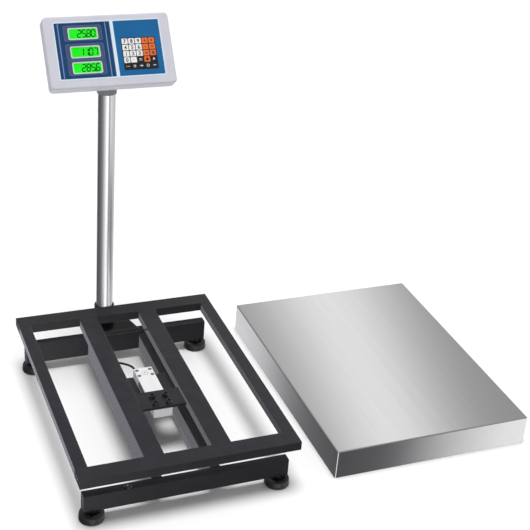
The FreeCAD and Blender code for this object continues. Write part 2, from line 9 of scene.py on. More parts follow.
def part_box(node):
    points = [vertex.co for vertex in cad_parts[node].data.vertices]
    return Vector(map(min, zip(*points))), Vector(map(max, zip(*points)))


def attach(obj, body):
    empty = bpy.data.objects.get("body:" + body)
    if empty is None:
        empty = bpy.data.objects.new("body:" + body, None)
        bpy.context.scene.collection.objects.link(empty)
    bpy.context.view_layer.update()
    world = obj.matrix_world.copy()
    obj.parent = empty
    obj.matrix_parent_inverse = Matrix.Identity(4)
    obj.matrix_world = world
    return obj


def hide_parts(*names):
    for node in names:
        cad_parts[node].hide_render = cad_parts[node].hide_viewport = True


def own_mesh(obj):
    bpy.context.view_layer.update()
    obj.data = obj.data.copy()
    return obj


# The looks of the platform scale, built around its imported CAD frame. Lengths are in metres in that frame.
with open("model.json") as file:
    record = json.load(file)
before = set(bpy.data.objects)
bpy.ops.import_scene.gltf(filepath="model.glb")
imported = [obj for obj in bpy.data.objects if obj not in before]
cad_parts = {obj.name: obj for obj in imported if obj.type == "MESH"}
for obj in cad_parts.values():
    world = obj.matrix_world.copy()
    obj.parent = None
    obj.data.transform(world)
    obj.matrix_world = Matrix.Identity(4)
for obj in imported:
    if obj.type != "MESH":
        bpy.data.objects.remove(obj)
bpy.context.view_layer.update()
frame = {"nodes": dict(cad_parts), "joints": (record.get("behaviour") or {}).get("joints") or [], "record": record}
NODES = frame["nodes"]
RECORD = frame["record"]
MM = 0.001


# --- studio ------------------------------------------------------------------------------------------
CAMERA_PLACE = (-0.656, -2.0614, 1.5917)
CAMERA_YAW, CAMERA_PITCH, CAMERA_ROLL = 23.569, 28.721, 4.815
CAMERA_LENS = 83.13
SENSOR_WIDTH = 36


def add_camera():
    yaw, pitch, roll = (math.radians(angle) for angle in (CAMERA_YAW, CAMERA_PITCH, CAMERA_ROLL))
    look = Vector((math.sin(yaw) * math.cos(pitch), math.cos(yaw) * math.cos(pitch), -math.sin(pitch)))
    level = Vector((math.cos(yaw), -math.sin(yaw), 0))
    above = level.cross(look)
    right = level * math.cos(roll) + above * math.sin(roll)
    up = above * math.cos(roll) - level * math.sin(roll)
    data = bpy.data.cameras.new("camera")
    data.sensor_width = SENSOR_WIDTH
    data.lens = CAMERA_LENS
    camera = bpy.data.objects.new("camera", data)
    bpy.context.scene.collection.objects.link(camera)
    turn = Matrix((right, up, -look)).transposed().to_4x4()
    camera.matrix_world = Matrix.Translation(CAMERA_PLACE) @ turn
    bpy.context.scene.camera = camera


def soft_sun(toward, strength, spread_degrees):
    data = bpy.data.lights.new("soft_sun", "SUN")
    data.energy = strength
    data.angle = math.radians(spread_degrees)
    light = bpy.data.objects.new("soft_sun", data)
    bpy.context.scene.collection.objects.link(light)
    light.matrix_world = Vector(toward).to_track_quat("-Z", "Y").to_matrix().to_4x4()
    light.visible_glossy = False


def add_floor():
    bm = bmesh.new()
    bmesh.ops.create_grid(bm, x_segments=8, y_segments=8, size=14)
    mesh = bpy.data.meshes.new("floor")
    bm.to_mesh(mesh)
    bm.free()
    white = surface("floor_white", (0.90, 0.90, 0.90), (0.93, 0.93, 0.93), (0.85, 0.95), patch=2)
    mesh.materials.append(white)
    floor = bpy.data.objects.new("floor", mesh)
    bpy.context.scene.collection.objects.link(floor)
    floor.visible_glossy = False


def math_node(tree, kind, first, second=None, third=None):
    node = tree.nodes.new("ShaderNodeMath")
    node.operation = kind
    for socket, value in zip(node.inputs, (first, second, third)):
        if value is None:
            continue
        if isinstance(value, (int, float)):
            socket.default_value = value
        else:
            tree.links.new(value, socket)
    return node.outputs[0]


def color_ramp(tree, factor, stops, interpolation="EASE"):
    node = tree.nodes.new("ShaderNodeValToRGB")
    ramp = node.color_ramp
    ramp.interpolation = interpolation
    while len(ramp.elements) < len(stops):
        ramp.elements.new(0.5)
    for element, (spot, color) in zip(ramp.elements, stops):
        element.position = spot
        element.color = (*color, 1)
    tree.links.new(factor, node.inputs[0])
    return node.outputs[0]


# Colour of the room at and below eye level, by bearing in degrees from the back (+Y) towards the right (+X).
ROOM_BELOW = [
    (-180, (2.00, 2.00, 2.02)),
    (-172, (1.55, 1.55, 1.57)),
    (-150, (0.80, 0.80, 0.81)),
    (-118, (0.25, 0.25, 0.26)),
    (-84, (0.13, 0.13, 0.135)),
    (-45, (0.08, 0.08, 0.085)),
    (-30, (0.10, 0.10, 0.105)),
    (-26, (0.14, 0.14, 0.15)),
    (-23, (1.00, 0.99, 1.02)),
    (-21.5, (1.15, 1.13, 1.18)),
    (-19, (0.42, 0.40, 0.47)),
    (-14, (0.72, 0.68, 0.82)),
    (-8, (0.95, 0.91, 1.06)),
    (15, (0.80, 0.79, 0.82)),
    (67, (0.69, 0.69, 0.70)),
    (121, (0.86, 0.86, 0.87)),
    (136, (1.28, 1.28, 1.28)),
    (142, (1.28, 1.28, 1.28)),
    (145, (0.80, 0.80, 0.81)),
    (148, (0.13, 0.13, 0.14)),
    (152.5, (0.09, 0.09, 0.10)),
    (156, (0.22, 0.22, 0.23)),
    (163, (0.45, 0.45, 0.46)),
    (170, (1.95, 1.95, 1.97)),
    (180, (2.00, 2.00, 2.02)),
]
# A bright band leans across the even room above: its bearing, lean per degree of height, and half width.
BAND_BEARING, BAND_LEAN, BAND_HALF_WIDTH = 4.3, 0.76, 3.9
ROOM_ABOVE, ROOM_BAND = 0.42, 0.80
HORIZON_BLUR = 0.12
PALE = 0.98


def build_world():
    world = bpy.data.worlds.new("studio")
    bpy.context.scene.world = world
    world.use_nodes = True
    tree = world.node_tree
    tree.nodes.clear()
    place = tree.nodes.new("ShaderNodeTexCoord")
    split = tree.nodes.new("ShaderNodeSeparateXYZ")
    tree.links.new(place.outputs["Generated"], split.inputs[0])
    x, y, z = split.outputs
    turn = math_node(tree, "ARCTAN2", x, y)
    share = math_node(tree, "MULTIPLY_ADD", turn, 1 / (2 * math.pi), 0.5)
    below = color_ramp(tree, share, [(bearing / 360 + 0.5, color) for bearing, color in ROOM_BELOW])
    degrees = math_node(tree, "MULTIPLY", turn, 180 / math.pi)
    height = math_node(tree, "MULTIPLY", math_node(tree, "ARCSINE", z), 180 / math.pi)
    leaning = math_node(tree, "MULTIPLY_ADD", height, -BAND_LEAN, degrees)
    off = math_node(tree, "DIVIDE", math_node(tree, "SUBTRACT", leaning, BAND_BEARING), BAND_HALF_WIDTH)
    square = math_node(tree, "MULTIPLY", off, off)
    hill = math_node(tree, "EXPONENT", math_node(tree, "MULTIPLY", square, -1))
    above = math_node(tree, "MULTIPLY_ADD", hill, ROOM_BAND, ROOM_ABOVE)
    level = tree.nodes.new("ShaderNodeMapRange")
    level.interpolation_type = "SMOOTHSTEP"
    level.inputs["From Min"].default_value = -HORIZON_BLUR
    level.inputs["From Max"].default_value = HORIZON_BLUR
    tree.links.new(z, level.inputs["Value"])
    mix = tree.nodes.new("ShaderNodeMix")
    mix.data_type = "RGBA"
    tree.links.new(level.outputs[0], mix.inputs["Factor"])
    tree.links.new(below, mix.inputs[6])
    tree.links.new(above, mix.inputs[7])
    seen = tree.nodes.new("ShaderNodeLightPath")
    backdrop = tree.nodes.new("ShaderNodeMix")
    backdrop.data_type = "RGBA"
    backdrop.inputs[7].default_value = (PALE, PALE, PALE, 1)
    tree.links.new(seen.outputs["Is Camera Ray"], backdrop.inputs["Factor"])
    tree.links.new(mix.outputs[2], backdrop.inputs[6])
    shine = tree.nodes.new("ShaderNodeBackground")
    tree.links.new(backdrop.outputs[2], shine.inputs["Color"])
    out = tree.nodes.new("ShaderNodeOutputWorld")
    tree.links.new(shine.outputs[0], out.inputs["Surface"])


# --- materials ---------------------------------------------------------------------------------------
NOISE_LOW, NOISE_HIGH = 0.3, 0.7


def noise(tree, scale, stretch=(1, 1, 1)):
    place = tree.nodes.new("ShaderNodeTexCoord")
    mapping = tree.nodes.new("ShaderNodeMapping")
    mapping.inputs["Scale"].default_value = stretch
    texture = tree.nodes.new("ShaderNodeTexNoise")
    texture.inputs["Scale"].default_value = scale
    texture.inputs["Detail"].default_value = 4
    tree.links.new(place.outputs["Object"], mapping.inputs["Vector"])
    tree.links.new(mapping.outputs[0], texture.inputs["Vector"])
    return texture.outputs["Fac"]


def spread(tree, factor, low, high):
    node = tree.nodes.new("ShaderNodeMapRange")
    node.inputs["From Min"].default_value = NOISE_LOW
    node.inputs["From Max"].default_value = NOISE_HIGH
    node.inputs["To Min"].default_value = low
    node.inputs["To Max"].default_value = high
    tree.links.new(factor, node.inputs["Value"])
    return node.outputs[0]


def drift(tree, scale, low, high, stretch=(1, 1, 1)):
    """Colour that wanders between two limits."""
    return color_ramp(tree, noise(tree, scale, stretch), [(NOISE_LOW, low), (NOISE_HIGH, high)], "LINEAR")


def surface(
    name, low, high, rough, metallic=0.0, patch=60, grain=900, relief=0.02, stretch=(1, 1, 1), **sockets
):
    """Colour and roughness drift between two limits each, in patches, and fine grain has relief in mm."""
    material = bpy.data.materials.new(name)
    material.use_nodes = True
    tree = material.node_tree
    shader = tree.nodes["Principled BSDF"]
    tree.links.new(drift(tree, patch, low, high, stretch), shader.inputs["Base Color"])
    tree.links.new(spread(tree, noise(tree, patch * 3, stretch), *rough), shader.inputs["Roughness"])
    bump = tree.nodes.new("ShaderNodeBump")
    bump.inputs["Distance"].default_value = relief * MM
    tree.links.new(noise(tree, grain, stretch), bump.inputs["Height"])
    tree.links.new(bump.outputs[0], shader.inputs["Normal"])
    shader.inputs["Metallic"].default_value = metallic
    for socket, value in sockets.items():
        shader.inputs[socket.replace("_", " ")].default_value = value
    return material


def glowing(name, low, high, strength):
    material = surface(name, low, high, (0.18, 0.24), patch=30, relief=0.004)
    tree = material.node_tree
    shader = tree.nodes["Principled BSDF"]
    tree.links.new(drift(tree, 25, low, high), shader.inputs["Emission Color"])
    shader.inputs["Emission Strength"].default_value = strength
    return material


FINISH = {
    "frame_paint": surface(
        "frame_paint", (0.021, 0.021, 0.025), (0.026, 0.026, 0.031), (0.13, 0.20),
        patch=35, grain=500, relief=0.006, IOR=1.30,
    ),
    "column_steel": surface(
        "column_steel", (0.74, 0.73, 0.74), (0.78, 0.77, 0.78), (0.27, 0.32), 1.0,
        grain=1600, relief=0.002, stretch=(1, 1, 0.02),
    ),
    "cover_steel": surface(
        "cover_steel", (0.618, 0.618, 0.618), (0.636, 0.636, 0.636), (0.085, 0.105), 1.0,
        grain=2600, relief=0.0012, stretch=(1, 0.02, 1),
    ),
    "cell_aluminium": surface(
        "cell_aluminium", (0.82, 0.82, 0.83), (0.90, 0.90, 0.91), (0.34, 0.46), 0.25,
        grain=1500, relief=0.006, stretch=(1, 0.1, 1),
    ),
    "black_screw": surface("black_screw", (0.012, 0.012, 0.014), (0.03, 0.03, 0.034), (0.28, 0.42), 0.3),
    "zinc_steel": surface(
        "zinc_steel", (0.42, 0.42, 0.43), (0.58, 0.58, 0.56), (0.25, 0.42), 1.0, relief=0.01
    ),
    "foot_rubber": surface(
        "foot_rubber", (0.010, 0.010, 0.013), (0.018, 0.018, 0.022), (0.34, 0.48), grain=1400, relief=0.05
    ),
    "cable_jacket": surface("cable_jacket", (0.010, 0.010, 0.010), (0.018, 0.018, 0.018), (0.35, 0.45)),
    "housing_plastic": surface(
        "housing_plastic", (0.58, 0.58, 0.65), (0.62, 0.62, 0.69), (0.42, 0.52),
        patch=25, grain=2400, IOR=1.4,
    ),
    # Dark grey: partly the neck's own grey and partly painted shade, the shadow that the head casts on it.
    "neck_plastic": surface("neck_plastic", (0.17, 0.17, 0.20), (0.22, 0.22, 0.25), (0.34, 0.44)),
    "display_blue": surface(
        "display_blue", (0.010, 0.045, 0.135), (0.014, 0.058, 0.165), (0.22, 0.30),
        patch=12, relief=0.004, IOR=1.3,
    ),
    "keypad_blue": surface(
        "keypad_blue", (0.010, 0.115, 0.30), (0.014, 0.135, 0.34), (0.36, 0.44),
        patch=12, relief=0.01, IOR=1.3,
    ),
    "lcd_green": glowing("lcd_green", (0.0, 0.62, 0.0), (0.01, 0.74, 0.01), 0.32),
    "key_white": surface("key_white", (0.80, 0.80, 0.80), (0.86, 0.86, 0.86), (0.35, 0.45)),
    "key_orange": surface("key_orange", (0.72, 0.14, 0.025), (0.80, 0.17, 0.035), (0.35, 0.45)),
    "key_black": surface("key_black", (0.010, 0.010, 0.011), (0.018, 0.018, 0.02), (0.33, 0.45)),
    "board_green": surface("board_green", (0.012, 0.11, 0.035), (0.02, 0.15, 0.05), (0.28, 0.36), patch=300),
    "battery_case": surface(
        "battery_case", (0.02, 0.02, 0.022), (0.035, 0.035, 0.04), (0.45, 0.6), relief=0.03
    ),
}
DETAIL = {
    # Pale cyan white: partly the trim's own colour round and between the windows, and partly a painted reflection
    # of the light on the window chamfers.
    "window_trim_and_chamfer_glint": surface("window_trim_and_chamfer_glint", (0.62, 0.76, 0.88), (0.68, 0.80, 0.92), (0.25, 0.35), relief=0.01),
    "field_tint": surface(
        "field_tint", (0.050, 0.072, 0.155), (0.058, 0.082, 0.17), (0.22, 0.3), relief=0.004
    ),
    "lcd_rim": surface("lcd_rim", (0.52, 0.62, 0.58), (0.60, 0.70, 0.66), (0.3, 0.4), relief=0.01),
    "lcd_digit": surface(
        "lcd_digit", (0.002, 0.030, 0.004), (0.003, 0.045, 0.006), (0.3, 0.4), relief=0.004, IOR=1.25
    ),
    # Pale blue: on the display panel's two round ridges it is a painted highlight along their tops, and on the
    # thin borders round the reading fields it is printed outline.
    "ridge_highlight_and_outline_blue": surface("ridge_highlight_and_outline_blue", (0.16, 0.26, 0.44), (0.20, 0.30, 0.50), (0.16, 0.22), relief=0.004),
    "legend_dark": surface(
        "legend_dark", (0.012, 0.012, 0.014), (0.02, 0.02, 0.022), (0.4, 0.5), relief=0.01
    ),
    "legend_light": surface("legend_light", (0.70, 0.70, 0.70), (0.78, 0.78, 0.78), (0.4, 0.5), relief=0.01),
    "potting": surface(
        "potting", (0.012, 0.012, 0.013), (0.022, 0.022, 0.024), (0.3, 0.42), patch=200, relief=0.08
    ),
    "weld": surface(
        "weld", (0.012, 0.012, 0.015), (0.020, 0.020, 0.026), (0.3, 0.42), patch=300, relief=0.06
    ),
    "vial": surface("vial", (0.030, 0.045, 0.020), (0.045, 0.065, 0.030), (0.05, 0.1), relief=0.0, IOR=1.5),
    # Pale: the level's bubble. Its colour is a painted highlight, the glint on the vial.
    "bubble_glint": surface("bubble_glint", (0.70, 0.74, 0.66), (0.78, 0.80, 0.72), (0.05, 0.1), relief=0.0),
    "solder": surface("solder", (0.55, 0.55, 0.56), (0.65, 0.65, 0.66), (0.25, 0.35), 1.0, relief=0.01),
}


# --- mesh tools --------------------------------------------------------------------------------------
SMOOTH_ANGLE = math.radians(38)


def piece(name, bm, body, materials, replaces=(), bevel=None):
    """Turns a bmesh into one object that rides on a body."""
    bmesh.ops.recalc_face_normals(bm, faces=bm.faces)
    mesh = bpy.data.meshes.new(name)
    bm.to_mesh(mesh)
    bm.free()
    mesh.shade_smooth()
    mesh.set_sharp_from_angle(angle=SMOOTH_ANGLE)
    for material in materials:
        mesh.materials.append(material)
    item = bpy.data.objects.new(name, mesh)
    bpy.context.scene.collection.objects.link(item)
    if bevel:
        soften(item, bevel)
    else:
        even_normals(item)
    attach(item, body)
    if replaces:
        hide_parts(*replaces)
    return item


def even_normals(item):
    """Large flat faces stay flat in the light, and only the small round edges bend it."""
    normals = item.modifiers.new("normals", "WEIGHTED_NORMAL")
    normals.weight = 100
    normals.keep_sharp = True


def soften(item, width, segments=2):
    """Small round edges on a hard shape, without touching its own mesh."""
    weld = item.modifiers.new("weld", "WELD")
    weld.merge_threshold = 0.00001
    flat = item.modifiers.new("flat", "DECIMATE")
    flat.decimate_type = "DISSOLVE"
    flat.angle_limit = math.radians(0.5)
    bevel = item.modifiers.new("edges", "BEVEL")
    bevel.width = width
    bevel.segments = segments
    bevel.limit_method = "ANGLE"
    bevel.angle_limit = math.radians(35)
    even_normals(item)


def around(sides):
    return [2 * math.pi * i / sides for i in range(sides)]


def quarter_turn(steps):
    return [math.pi / 2 * i / steps for i in range(steps + 1)]


def corners(points):
    """Low and high corners of the box round some points."""
    return [Vector([limit(p[k] for p in points) for k in range(3)]) for limit in (min, max)]


def loft(bm, rings, bottom=True, top=True, material=0):
    """Skins a list of rings of points, all with the same count, and closes its ends."""
    layers = [[bm.verts.new(p) for p in ring] for ring in rings]
    faces = []
    for low, high in zip(layers, layers[1:]):
        for i in range(len(low)):
            j = (i + 1) % len(low)
            faces.append(bm.faces.new((low[i], low[j], high[j], high[i])))
    if bottom:
        faces.append(bm.faces.new(list(reversed(layers[0]))))
    if top:
        faces.append(bm.faces.new(layers[-1]))
    for face in faces:
        face.material_index = material
    return layers


def circle(radius, z, sides=64, x=0.0, y=0.0):
    return [Vector((x + radius * math.cos(a), y + radius * math.sin(a), z)) for a in around(sides)]


def hexagon(half_width, z, sides, turn=0.0, limit=math.inf, x=0.0, y=0.0):
    """A ring of points round a hexagon, with its corners cut off beyond the limit."""
    points = []
    for a in around(sides):
        reach = min(half_width / math.cos((a + turn) % (math.pi / 3) - math.pi / 6), limit)
        points.append(Vector((x + reach * math.cos(a), y + reach * math.sin(a), z)))
    return points


def rounded(width, height, radius, z=0.0, x=0.0, y=0.0, steps=5):
    """A ring of points round a rectangle with round corners, centred on x, y."""
    points = []
    for quarter, (sx, sy) in enumerate(((1, 1), (-1, 1), (-1, -1), (1, -1))):
        cx, cy = x + sx * (width / 2 - radius), y + sy * (height / 2 - radius)
        for i in range(steps + 1):
            a = math.pi / 2 * (quarter + i / steps)
            points.append(Vector((cx + radius * math.cos(a), cy + radius * math.sin(a), z)))
    return points


def ring_edges(bm, points):
    verts = [bm.verts.new(p) for p in points]
    return [bm.edges.new((a, b)) for a, b in zip(verts, verts[1:] + verts[:1])]


def plate(bm, outlines, low, high, material=0):
    """A flat plate between two heights: the first outline is its edge, and the others are holes in it."""
    rings = [[Vector((p.x, p.y, low)) for p in points] for points in outlines]
    edges = [edge for ring in rings for edge in ring_edges(bm, ring)]
    made = bmesh.ops.triangle_fill(bm, edges=edges, use_beauty=True)["geom"]
    faces = [g for g in made if isinstance(g, bmesh.types.BMFace)]
    grown = bmesh.ops.extrude_face_region(bm, geom=faces, use_keep_orig=True)["geom"]
    verts = [g for g in grown if isinstance(g, bmesh.types.BMVert)]
    bmesh.ops.translate(bm, verts=verts, vec=(0, 0, high - low))
    for face in set(faces) | {f for v in verts for f in v.link_faces}:
        face.material_index = material


def lathe(bm, profile, sides=64, x=0.0, y=0.0, material=0, bottom=True, top=True):
    return loft(bm, [circle(r, z, sides, x, y) for r, z in profile], bottom, top, material)


def tube(bm, profile, sides, x, y):
    """A ring turned from a closed profile."""
    rings = lathe(bm, profile, sides, x, y, bottom=False, top=False)
    for i in range(sides):
        j = (i + 1) % sides
        bm.faces.new((rings[-1][i], rings[-1][j], rings[0][j], rings[0][i]))


def soft_profile(radius, low, high, edge, steps=3):
    """The profile of a round disc or bar whose two rims are rounded off by edge."""
    turns = quarter_turn(steps)
    start = [(radius - edge + edge * math.sin(a), low + edge - edge * math.cos(a)) for a in turns]
    end = [(radius - edge + edge * math.cos(a), high - edge + edge * math.sin(a)) for a in turns]
    return start + end


def block(bm, low, high, edge, material=0, steps=3):
    """A box between two corners with all of its edges rounded."""
    size = high - low
    turns = quarter_turn(steps)
    levels = [(edge * (1 - math.sin(a)), low.z + edge * (1 - math.cos(a))) for a in turns]
    levels += [(edge * (1 - math.cos(a)), high.z - edge * (1 - math.sin(a))) for a in turns]
    middle = (low + high) / 2
    rings = []
    for inset, z in levels:
        wide, deep, radius = size.x - 2 * inset, size.y - 2 * inset, max(edge - inset, edge * 0.05)
        rings.append(rounded(wide, deep, radius, z, middle.x, middle.y, 3))
    loft(bm, rings, material=material)


def moved(bm, matrix, before=0):
    """Moves the vertices made after the first ones by a matrix."""
    bm.verts.ensure_lookup_table()
    bmesh.ops.transform(bm, matrix=matrix, verts=bm.verts[before:])


def bead(bm, start, end, radius=0.0016, sides=8):
    """A rippled weld bead along one line."""
    run = end - start
    count = max(4, round(run.length / 0.0013))
    side = run.orthogonal().normalized()
    other = run.normalized().cross(side)
    turns = around(sides)
    rings = []
    for i in range(count + 1):
        ripple = radius * (1 + 0.16 * math.cos(math.pi * i)) * (0.6 if i in (0, count) else 1)
        centre = start + run * i / count
        rings.append([centre + (side * math.cos(a) + other * math.sin(a)) * ripple for a in turns])
    loft(bm, rings)


# --- steel frames, from the CAD nodes ----------------------------------------------------------------
def paint_nodes():
    """Gives every CAD node the finish of its own slot."""
    for part in RECORD["subparts"]:
        item = NODES[part["node"]]
        finish = FINISH[part["material_slot"]]
        if not item.material_slots:
            item.data.materials.append(finish)
        for spot in item.material_slots:
            spot.material = finish


FRAME_NODES = [
    "base_front_beam", "base_rear_beam", "base_rails", "cell_bridge", "column_plate",
    "load_front_beam", "load_rear_beam", "load_side_rails", "load_middle_tubes", "load_cell_plate",
]


# Widths of single bars, which a box round a pair of them doesn't give.
SIDE_RAIL_WIDTH = 25 * MM
MIDDLE_TUBE_WIDTH = 40 * MM
BASE_RAIL_WIDTH = 21 * MM
TUBE_WALL = 2 * MM


def frame_edges():
    """Small round edges on the hard parts. The painted frame is kept out of mirror reflections."""
    for name in FRAME_NODES:
        soften(NODES[name], 1.1 * MM, 3)
        NODES[name].visible_glossy = False
    soften(NODES["main_board"], 0.2 * MM)
    soften(NODES["battery"], 2 * MM, 3)


def tube_plugs():
    """Moulded plugs in the open ends of the four cross beams."""
    for name in ("load_front_beam", "load_rear_beam", "base_front_beam", "base_rear_beam"):
        low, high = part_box(name)
        bm = bmesh.new()
        for end in (-1, 1):
            before = len(bm.verts)
            depth, height = high.y - low.y - 2 * TUBE_WALL, high.z - low.z - 2 * TUBE_WALL
            levels = [(0.0, -12), (0.0, -0.9), (0.25, -0.4), (0.7, -0.15), (2.6, -0.15), (3.0, -0.7)]
            rings = []
            for inset, z in levels:
                radius = max(1.2 - inset / 3, 0.3)
                rings.append(rounded(depth - 2 * inset * MM, height - 2 * inset * MM, radius * MM, z * MM))
            loft(bm, rings)
            face_x = high.x if end > 0 else low.x
            spin = Matrix.Rotation(math.pi / 2 * end, 4, "Y") @ Matrix.Rotation(math.pi / 2, 4, "Z")
            centre = Vector((face_x, (low.y + high.y) / 2, (low.z + high.z) / 2))
            moved(bm, Matrix.Translation(centre) @ spin, before)
        body = "load_frame" if name.startswith("load") else "base"
        piece(name + "_plugs", bm, body, [FINISH["foot_rubber"]])


def weld_beads():
    """Beads where rails meet cross beams, and where the bridge and the column's foot are joined."""
    front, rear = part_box("load_front_beam")[1].y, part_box("load_rear_beam")[0].y
    rail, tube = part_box("load_side_rails"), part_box("load_middle_tubes")
    lines = [rail[0].x + SIDE_RAIL_WIDTH, tube[0].x, tube[0].x + MIDDLE_TUBE_WIDTH]
    bm = bmesh.new()
    for x in lines + [-x for x in lines]:
        for y in (front, rear):
            bead(bm, Vector((x, y, rail[0].z + MM)), Vector((x, y, rail[1].z - 1.5 * MM)))
    piece("load_frame_welds", bm, "load_frame", [DETAIL["weld"]])

    bm = bmesh.new()
    front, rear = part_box("base_front_beam")[1].y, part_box("base_rear_beam")[0].y
    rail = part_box("base_rails")
    lines = [rail[0].x, rail[0].x + BASE_RAIL_WIDTH]
    for x in lines + [-x for x in lines]:
        for y in (front, rear):
            bead(bm, Vector((x, y, rail[0].z + MM)), Vector((x, y, rail[1].z - MM)))
    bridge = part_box("cell_bridge")
    front, rear, z = bridge[0].y + 3 * MM, bridge[1].y - 3 * MM, bridge[0].z
    for x in (bridge[0].x, bridge[1].x):
        bead(bm, Vector((x, front, z)), Vector((x, rear, z)))
    low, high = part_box("column_plate")
    bead(bm, Vector((low.x + 6 * MM, low.y, low.z)), Vector((high.x - 6 * MM, low.y, low.z)))
    low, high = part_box("column_socket")
    centre, radius = (low + high) / 2, (high.x - low.x) / 2
    path = circle(radius, low.z, 60, centre.x, centre.y)
    path.append(path[0])
    for a, b in zip(path, path[1:]):
        bead(bm, a, b)
    piece("base_frame_welds", bm, "base", [DETAIL["weld"]])


def bubble_level():
    """A small round level on top of the lower front beam."""
    low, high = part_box("base_front_beam")
    x, y, z = -122 * MM, (low.y + high.y) / 2 - 1.5 * MM, high.z
    bm = bmesh.new()
    cup = [(7.5, 0), (7.5, 2.6), (7.0, 3.2), (5.6, 3.2), (5.3, 2.2)]
    lathe(bm, [(r * MM, z + up * MM) for r, up in cup], 40, x, y)
    dome = [(5.3 * MM * math.cos(a), z + 2.2 * MM + 1.2 * MM * math.sin(a)) for a in (0, 0.4, 0.8, 1.2, 1.5)]
    lathe(bm, dome, 40, x, y, material=1)
    # A small pale bump set off the middle of the vial. Its pale colour is a painted highlight, the glint on the
    # vial.
    bubble_glint = [(1.5, 3.3), (1.6, 3.55), (0.9, 3.75)]
    lathe(bm, [(r * MM, z + up * MM) for r, up in bubble_glint], 24, x - MM, y, 2)
    colours = [FINISH["foot_rubber"], DETAIL["vial"], DETAIL["bubble_glint"]]
    piece("bubble_level", bm, "base", colours)


# --- column ------------------------------------------------------------------------------------------
COLUMN_WALL = 1.5 * MM
SOCKET_BORE = 19.1 * MM


def column():
    low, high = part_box("column_tube")
    middle = (low + high) / 2
    outer = (high.x - low.x) / 2
    inner = outer - COLUMN_WALL
    profile = [
        (outer, low.z), (outer, high.z - 0.5 * MM), (outer - 0.4 * MM, high.z),
        (inner, high.z), (inner, low.z),
    ]
    bm = bmesh.new()
    tube(bm, profile, 160, middle.x, middle.y)
    piece("column_tube_polished", bm, "base", [FINISH["column_steel"]], ["column_tube"])


def collar():
    """The round socket, with a rolled rim, that holds the column's foot."""
    low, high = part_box("column_socket")
    middle = (low + high) / 2
    outer = (high.x - low.x) / 2
    profile = [
        (outer, low.z), (outer, high.z - 1.4 * MM), (outer - 0.4 * MM, high.z - 0.5 * MM),
        (outer - 1.3 * MM, high.z), (SOCKET_BORE + 0.4 * MM, high.z), (SOCKET_BORE, high.z - 0.5 * MM),
        (SOCKET_BORE, low.z),
    ]
    bm = bmesh.new()
    tube(bm, profile, 96, middle.x, middle.y)
    piece("column_socket_turned", bm, "base", [FINISH["frame_paint"]], ["column_socket"])


# --- screws ------------------------------------------------------------------------------------------
SCREW_HEAD = 8 * MM


def socket_screw(bm, seat, axis, length):
    """A knurled socket cap screw on a washer, with its head's seat at a point and its head along axis."""
    before = len(bm.verts)
    washer = [(8.0, 0), (8.2, 0.4), (8.2, 1.2), (7.9, 1.5), (4, 1.5)]
    lathe(bm, [(r * MM, z * MM) for r, z in washer], 40)
    sides, radius, knurl = 72, 6.5 * MM, 0.012
    rings = []
    turns = around(sides)
    levels = (
        (1.5, 0.97, 0), (1.9, 1, knurl), (6.6, 1, knurl), (7.1, 0.985, 0), (7.8, 0.93, 0), (8, 0.88, 0)
    )
    for z, share, depth in levels:
        radii = [radius * (share - depth * (i % 2)) for i in range(sides)]
        rings.append([Vector((r * math.cos(a), r * math.sin(a), z * MM)) for r, a in zip(radii, turns)])
    rings.append(circle(3.9 * MM, SCREW_HEAD, sides))
    rings += [hexagon(3 * MM, z * MM, sides, math.pi / 6) for z in (7.6, 4.2)]
    loft(bm, rings)
    lathe(bm, [(3.95 * MM, -length), (3.95 * MM, 0.1 * MM)], 24)
    turn = Vector(axis).to_track_quat("Z", "Y").to_matrix().to_4x4()
    moved(bm, Matrix.Translation(seat) @ turn, before)


def solids(node):
    """Low and high corners of each separate solid of a CAD node."""
    bm = bmesh.new()
    bm.from_mesh(NODES[node].data)
    bmesh.ops.remove_doubles(bm, verts=bm.verts, dist=0.00001)
    left, found = set(bm.verts), []
    while left:
        grown, front = set(), [left.pop()]
        while front:
            vert = front.pop()
            grown.add(vert)
            near = {e.other_vert(vert) for e in vert.link_edges} & left
            left -= near
            front += list(near)
        found.append(corners([v.co for v in grown]))
    bm.free()
    return sorted(found, key=lambda box: (round(box[0].z, 4), round(box[0].y, 4), round(box[0].x, 4)))


def all_screws():
    reach = 18 * MM
    for node, body, up in (("cell_upper_screws", "load_frame", True), ("cell_lower_screws", "base", False)):
        bm = bmesh.new()
        for low, high in solids(node):
            x, y = (low.x + high.x) / 2, (low.y + high.y) / 2
            seat = high.z - SCREW_HEAD if up else low.z + SCREW_HEAD
            socket_screw(bm, Vector((x, y, seat)), (0, 0, 1 if up else -1), reach)
        piece(node + "_machined", bm, body, [FINISH["black_screw"]], [node])
    bm = bmesh.new()
    for low, high in solids("column_screws"):
        seat = Vector(((low.x + high.x) / 2, high.y - SCREW_HEAD, (low.z + high.z) / 2))
        socket_screw(bm, seat, (0, 1, 0), 3.4 * MM)
    piece("column_screws_machined", bm, "base", [FINISH["black_screw"]], ["column_screws"])


